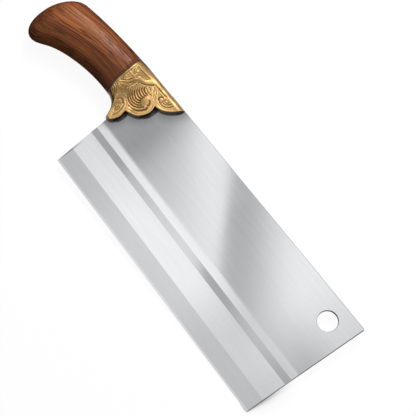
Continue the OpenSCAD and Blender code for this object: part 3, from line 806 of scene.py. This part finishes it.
def card_material(context):
    """What the polished blade mirrors: a pale card with a soft grey diagonal, placed for the camera."""
    material, nodes, links, shader = new_material("reflection_card")
    nodes.remove(shader)
    camera = context.scene.camera.location
    share = CARD_HEIGHT / (camera.z - HEEL.z)
    parts = split(nodes, links, nodes.new("ShaderNodeTexCoord").outputs["Object"])

    def m(operation, *values, clamp=False):
        return math_node(nodes, links, operation, *values, clamp=clamp)

    def step(value, low, high):
        return smooth_step(nodes, links, value, low, high)

    # From here on, x and y are the point of the blade, in millimetres, that mirrors this point of the card
    scale = 1 / (1 + share) / MM
    x = m("MULTIPLY_ADD", parts["X"], scale, camera.x * share * scale - HEEL.x / MM)
    y = m("MULTIPLY_ADD", parts["Y"], scale, camera.y * share * scale - HEEL.y / MM + CARD_SHIFT)
    width = m("MULTIPLY_ADD", y, -1.85, 190.0)
    far = m("DIVIDE", m("SUBTRACT", x, 21.0), width, clamp=True)
    near_bolster = m("POWER", m("SUBTRACT", 1.0, far), 1.5)
    left = m("MULTIPLY_ADD", near_bolster, -0.62, 1.02)
    past_line = m("SUBTRACT", x, m("MULTIPLY_ADD", y, -1.05, 169.5))
    rise = m("MULTIPLY_ADD", step(y, 75.0, 48.0), -0.10, 0.50)
    right = m("MULTIPLY_ADD", step(past_line, 15.0, 75.0), rise, 0.52)
    body = m("ADD", left, m("MULTIPLY", step(past_line, -3.0, 3.0), m("SUBTRACT", right, left)))
    toe = m("MULTIPLY", step(x, 162.0, 218.0), m("MULTIPLY_ADD", step(y, 80.0, 46.0), 0.17, 0.20))
    body = m("SUBTRACT", body, toe)
    dip = m("MULTIPLY", step(x, 14.0, 26.0), step(x, 42.0, 30.0))
    body = m("MULTIPLY_ADD", dip, -0.05, body)
    low = m("MULTIPLY_ADD", step(x, 0.0, 75.0), 0.20, 0.89)
    low = m("MULTIPLY_ADD", step(x, 115.0, 165.0), -0.30, low)
    low = m("MULTIPLY_ADD", step(x, 190.0, 208.0), -0.06, low)
    front = m("MULTIPLY_ADD", low, 0.45, 0.335)
    front = m("MULTIPLY_ADD", step(x, 75.0, 20.0), -0.09, front)
    low = m("ADD", front, m("MULTIPLY", step(y, -16.0, -4.0), m("SUBTRACT", low, front)))
    value = m("ADD", low, m("MULTIPLY", step(y, 24.0, 40.0), m("SUBTRACT", body, low)))
    value = m("ADD", value, m("MULTIPLY", step(y, -60.0, -80.0), 0.16))
    hollow = m("MULTIPLY", step(y, 12.0, 26.0), step(y, 38.0, 28.0))
    value = m("MULTIPLY_ADD", m("MULTIPLY", hollow, step(x, 160.0, 190.0)), 0.07, value)
    value = m("MULTIPLY", value, m("MULTIPLY_ADD", step(x, 215.0, 290.0), -0.72, 1.0))
    emission = nodes.new("ShaderNodeEmission")
    links.new(value, emission.inputs["Strength"])
    links.new(emission.outputs[0], nodes["Material Output"].inputs["Surface"])
    return material


def grey_card_material(name, strength):
    """A flat grey card that only reflections show."""
    material, nodes, links, shader = new_material(name)
    nodes.remove(shader)
    emission = nodes.new("ShaderNodeEmission")
    emission.inputs["Strength"].default_value = strength
    links.new(emission.outputs[0], nodes["Material Output"].inputs["Surface"])
    return material


def white_rays(nodes, links):
    """1 for the rays that show the background: the camera's, and those by way of metal or glass."""
    light = nodes.new("ShaderNodeLightPath")
    mirrored = math_node(
        nodes, links, "MAXIMUM", light.outputs["Is Glossy Ray"], light.outputs["Is Transmission Ray"])
    return math_node(nodes, links, "MAXIMUM", light.outputs["Is Camera Ray"], mirrored)


def floor_material():
    """White paper to the camera, with a faint shadow that is deep where the toe touches it."""
    material, nodes, links, shader = new_material("white_floor")
    seen = white_rays(nodes, links)
    near = nodes.new("ShaderNodeAmbientOcclusion")
    near.samples = 24
    near.inputs["Distance"].default_value = 14 * MM
    parts = split(nodes, links, nodes.new("ShaderNodeTexCoord").outputs["Object"])
    touch = math_node(
        nodes, links, "MULTIPLY",
        smooth_step(nodes, links, parts["X"], HEEL.x + 200 * MM, HEEL.x + 209 * MM),
        smooth_step(nodes, links, parts["Y"], HEEL.y + 40 * MM, HEEL.y + 8 * MM))
    touch = math_node(nodes, links, "MULTIPLY", touch,
                      math_node(nodes, links, "MULTIPLY_ADD", near.outputs["AO"], -1.4, 1.4), clamp=True)
    white = mix_colour(nodes, links, touch, (0.93, 0.93, 0.93), (0.0, 0.0, 0.0))
    shade = mix_colour(nodes, links, seen, (0.4, 0.4, 0.4), (0.10, 0.10, 0.10))
    links.new(shade, shader.inputs["Base Color"])
    shader.inputs["Roughness"].default_value = 0.9
    shader.inputs["Specular IOR Level"].default_value = 0.0
    links.new(mix_colour(nodes, links, seen, (0, 0, 0), white), shader.inputs["Emission Color"])
    shader.inputs["Emission Strength"].default_value = 1.0
    return material


def studio_world():
    """White to the camera and in reflections, and a plain grey light for everything else."""
    world = bpy.data.worlds.new("studio")
    world.use_nodes = True
    nodes, links = world.node_tree.nodes, world.node_tree.links
    background = nodes["Background"]
    background.inputs["Color"].default_value = (1.0, 1.0, 1.0, 1.0)
    links.new(math_node(nodes, links, "MULTIPLY_ADD", white_rays(nodes, links), 0.76, 0.24),
              background.inputs["Strength"])
    return world


def sheet_of(name, corners, material):
    """A four-cornered sheet with its place in its mesh."""
    bpy.ops.object.select_all(action="DESELECT")
    bpy.ops.mesh.primitive_plane_add(size=1.0)
    piece = bpy.context.view_layer.objects.active
    piece.name = name
    bm = bmesh.new()
    made = [bm.verts.new(corner) for corner in corners]
    bm.faces.new(made)
    bm.to_mesh(piece.data)
    bm.free()
    finish(piece, material)
    return piece


def reflected_card(name, corners, material):
    """A sheet that shows in reflections, and not in the picture or in the shadows."""
    piece = sheet_of(name, corners, material)
    piece.visible_camera = False
    piece.visible_diffuse = False
    piece.visible_shadow = False
    piece.visible_transmission = False


def lamp(name, place_at, target, size, power):
    """A square lamp that points at the target."""
    data = bpy.data.lights.new(name, "AREA")
    data.size = size
    data.energy = power
    made = bpy.data.objects.new(name, data)
    bpy.context.scene.collection.objects.link(made)
    made.location = place_at
    made.rotation_euler = (Vector(target) - Vector(place_at)).to_track_quat("-Z", "Y").to_euler()


class CLEAVER_OT_stage(bpy.types.Operator):
    """Sets the camera, the lamps, the reflection cards and the white floor"""
    bl_idname = "cleaver.stage"
    bl_label = "Stage"

    def execute(self, context):
        scene = context.scene
        sizes = scene.cleaver_sizes
        target = place(87.03, 61.12)
        direction = Vector((
            math.cos(sizes.camera_height) * math.cos(sizes.camera_turn),
            math.cos(sizes.camera_height) * math.sin(sizes.camera_turn),
            math.sin(sizes.camera_height)))
        data = bpy.data.cameras.new("camera")
        data.sensor_fit = "HORIZONTAL"
        data.angle = sizes.camera_view
        data.clip_start = 0.01
        camera = bpy.data.objects.new("camera", data)
        scene.collection.objects.link(camera)
        camera.location = target + direction * sizes.camera_distance
        camera.rotation_euler = (-direction).to_track_quat("-Z", "Y").to_euler()
        scene.camera = camera
        scene.view_settings.view_transform = "Standard"
        scene.world = studio_world()
        # The cleaver rests on the swell of its handle and the lower corner of its toe
        handle_low, handle_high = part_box("handle")
        swell = handle_low.x + 0.55 * (handle_high.x - handle_low.x)
        toe = place(EDGE_LENGTH, 0, -0.3)
        # The floor drops towards the spine by this much for each metre, and climbs to the toe
        drop = 0.085
        slope = (toe.z - handle_low.z + 0.3 * MM - drop * (place(0, 65).y - toe.y)) / (toe.x - swell)

        def floor_height(x, y):
            return toe.z + (x - toe.x) * slope - (y - toe.y) * drop

        # Past the cutting edge the floor falls away, so that it hides nothing from a low view
        reach, fold, fall = 0.65, toe.y - 13 * MM, 0.06
        white = floor_material()
        sheet_of("floor", [
            (x, y, floor_height(x, y))
            for x, y in ((-reach, fold), (reach, fold), (reach, reach), (-reach, reach))], white)
        sheet_of("near_floor", [
            (x, y, floor_height(x, fold) - (fold - y) * fall)
            for x, y in ((-reach, -reach), (reach, -reach), (reach, fold), (-reach, fold))], white)
        reflected_card("sky_card", [
            (CARD_MIDDLE[0] + sx * CARD_HALF[0], CARD_MIDDLE[1] + sy * CARD_HALF[1], HEEL.z + CARD_HEIGHT)
            for sx, sy in ((-1, 1), (1, 1), (1, -1), (-1, -1))], card_material(context))
        reflected_card("side_flag", [
            (-0.62, -0.5, 0.02), (-0.62, 0.3, 0.02), (-0.52, 0.3, 0.42), (-0.52, -0.5, 0.42)],
            grey_card_material("flag_grey", 0.12))
        reflected_card("front_flag", [
            (-0.6, -0.52, 0.02), (0.5, -0.52, 0.02), (0.5, -0.46, 0.36), (-0.6, -0.46, 0.36)],
            grey_card_material("front_grey", 0.16))
        reflected_card("back_flag", [
            (-0.7, 0.5, 0.13), (0.5, 0.5, 0.13), (0.5, 0.56, 0.40), (-0.7, 0.56, 0.40)],
            grey_card_material("back_grey", 0.14))
        left, right = -0.55, place(-24, 0).x
        reflected_card("handle_flag", [
            (x, y, floor_height(x, y) + 0.6 * MM)
            for x, y in ((left, -0.5), (right, -0.5), (right, 0.5), (left, 0.5))],
            grey_card_material("under_grey", 0.03))
        lamp("key", (-0.38, 0.60, 0.77), place(-50, 70), 0.26, 5.0)
        lamp("fill", (0.07, 0.46, 0.85), place(60, 50), 0.30, 2.0)
        return {"FINISHED"}


class CLEAVER_PT_panel(bpy.types.Panel):
    """Lists the cleaver's sizes, colours and steps"""
    bl_idname = "CLEAVER_PT_panel"
    bl_label = "Chinese cleaver"
    bl_space_type = "VIEW_3D"
    bl_region_type = "UI"
    bl_category = "Cleaver"

    def draw(self, context):
        layout = self.layout
        for group in (context.scene.cleaver_sizes, context.scene.cleaver_colours):
            for name in group.__annotations__:
                layout.prop(group, name)
        for step in STEPS:
            layout.operator(step.bl_idname)


STEPS = (CLEAVER_OT_stage, CLEAVER_OT_blade, CLEAVER_OT_bolster, CLEAVER_OT_handle, CLEAVER_OT_fittings)
CLASSES = (CleaverSizes, CleaverColours, *STEPS, CLEAVER_PT_panel)


def register():
    for cls in CLASSES:
        bpy.utils.register_class(cls)
    bpy.types.Scene.cleaver_sizes = bpy.props.PointerProperty(type=CleaverSizes)
    bpy.types.Scene.cleaver_colours = bpy.props.PointerProperty(type=CleaverColours)


def unregister():
    del bpy.types.Scene.cleaver_colours
    del bpy.types.Scene.cleaver_sizes
    for cls in reversed(CLASSES):
        bpy.utils.unregister_class(cls)


def main():
    register()
    bpy.ops.cleaver.stage()
    bpy.ops.cleaver.blade()
    bpy.ops.cleaver.bolster()
    bpy.ops.cleaver.handle()
    bpy.ops.cleaver.fittings()


if __name__ == "__main__":
    main()
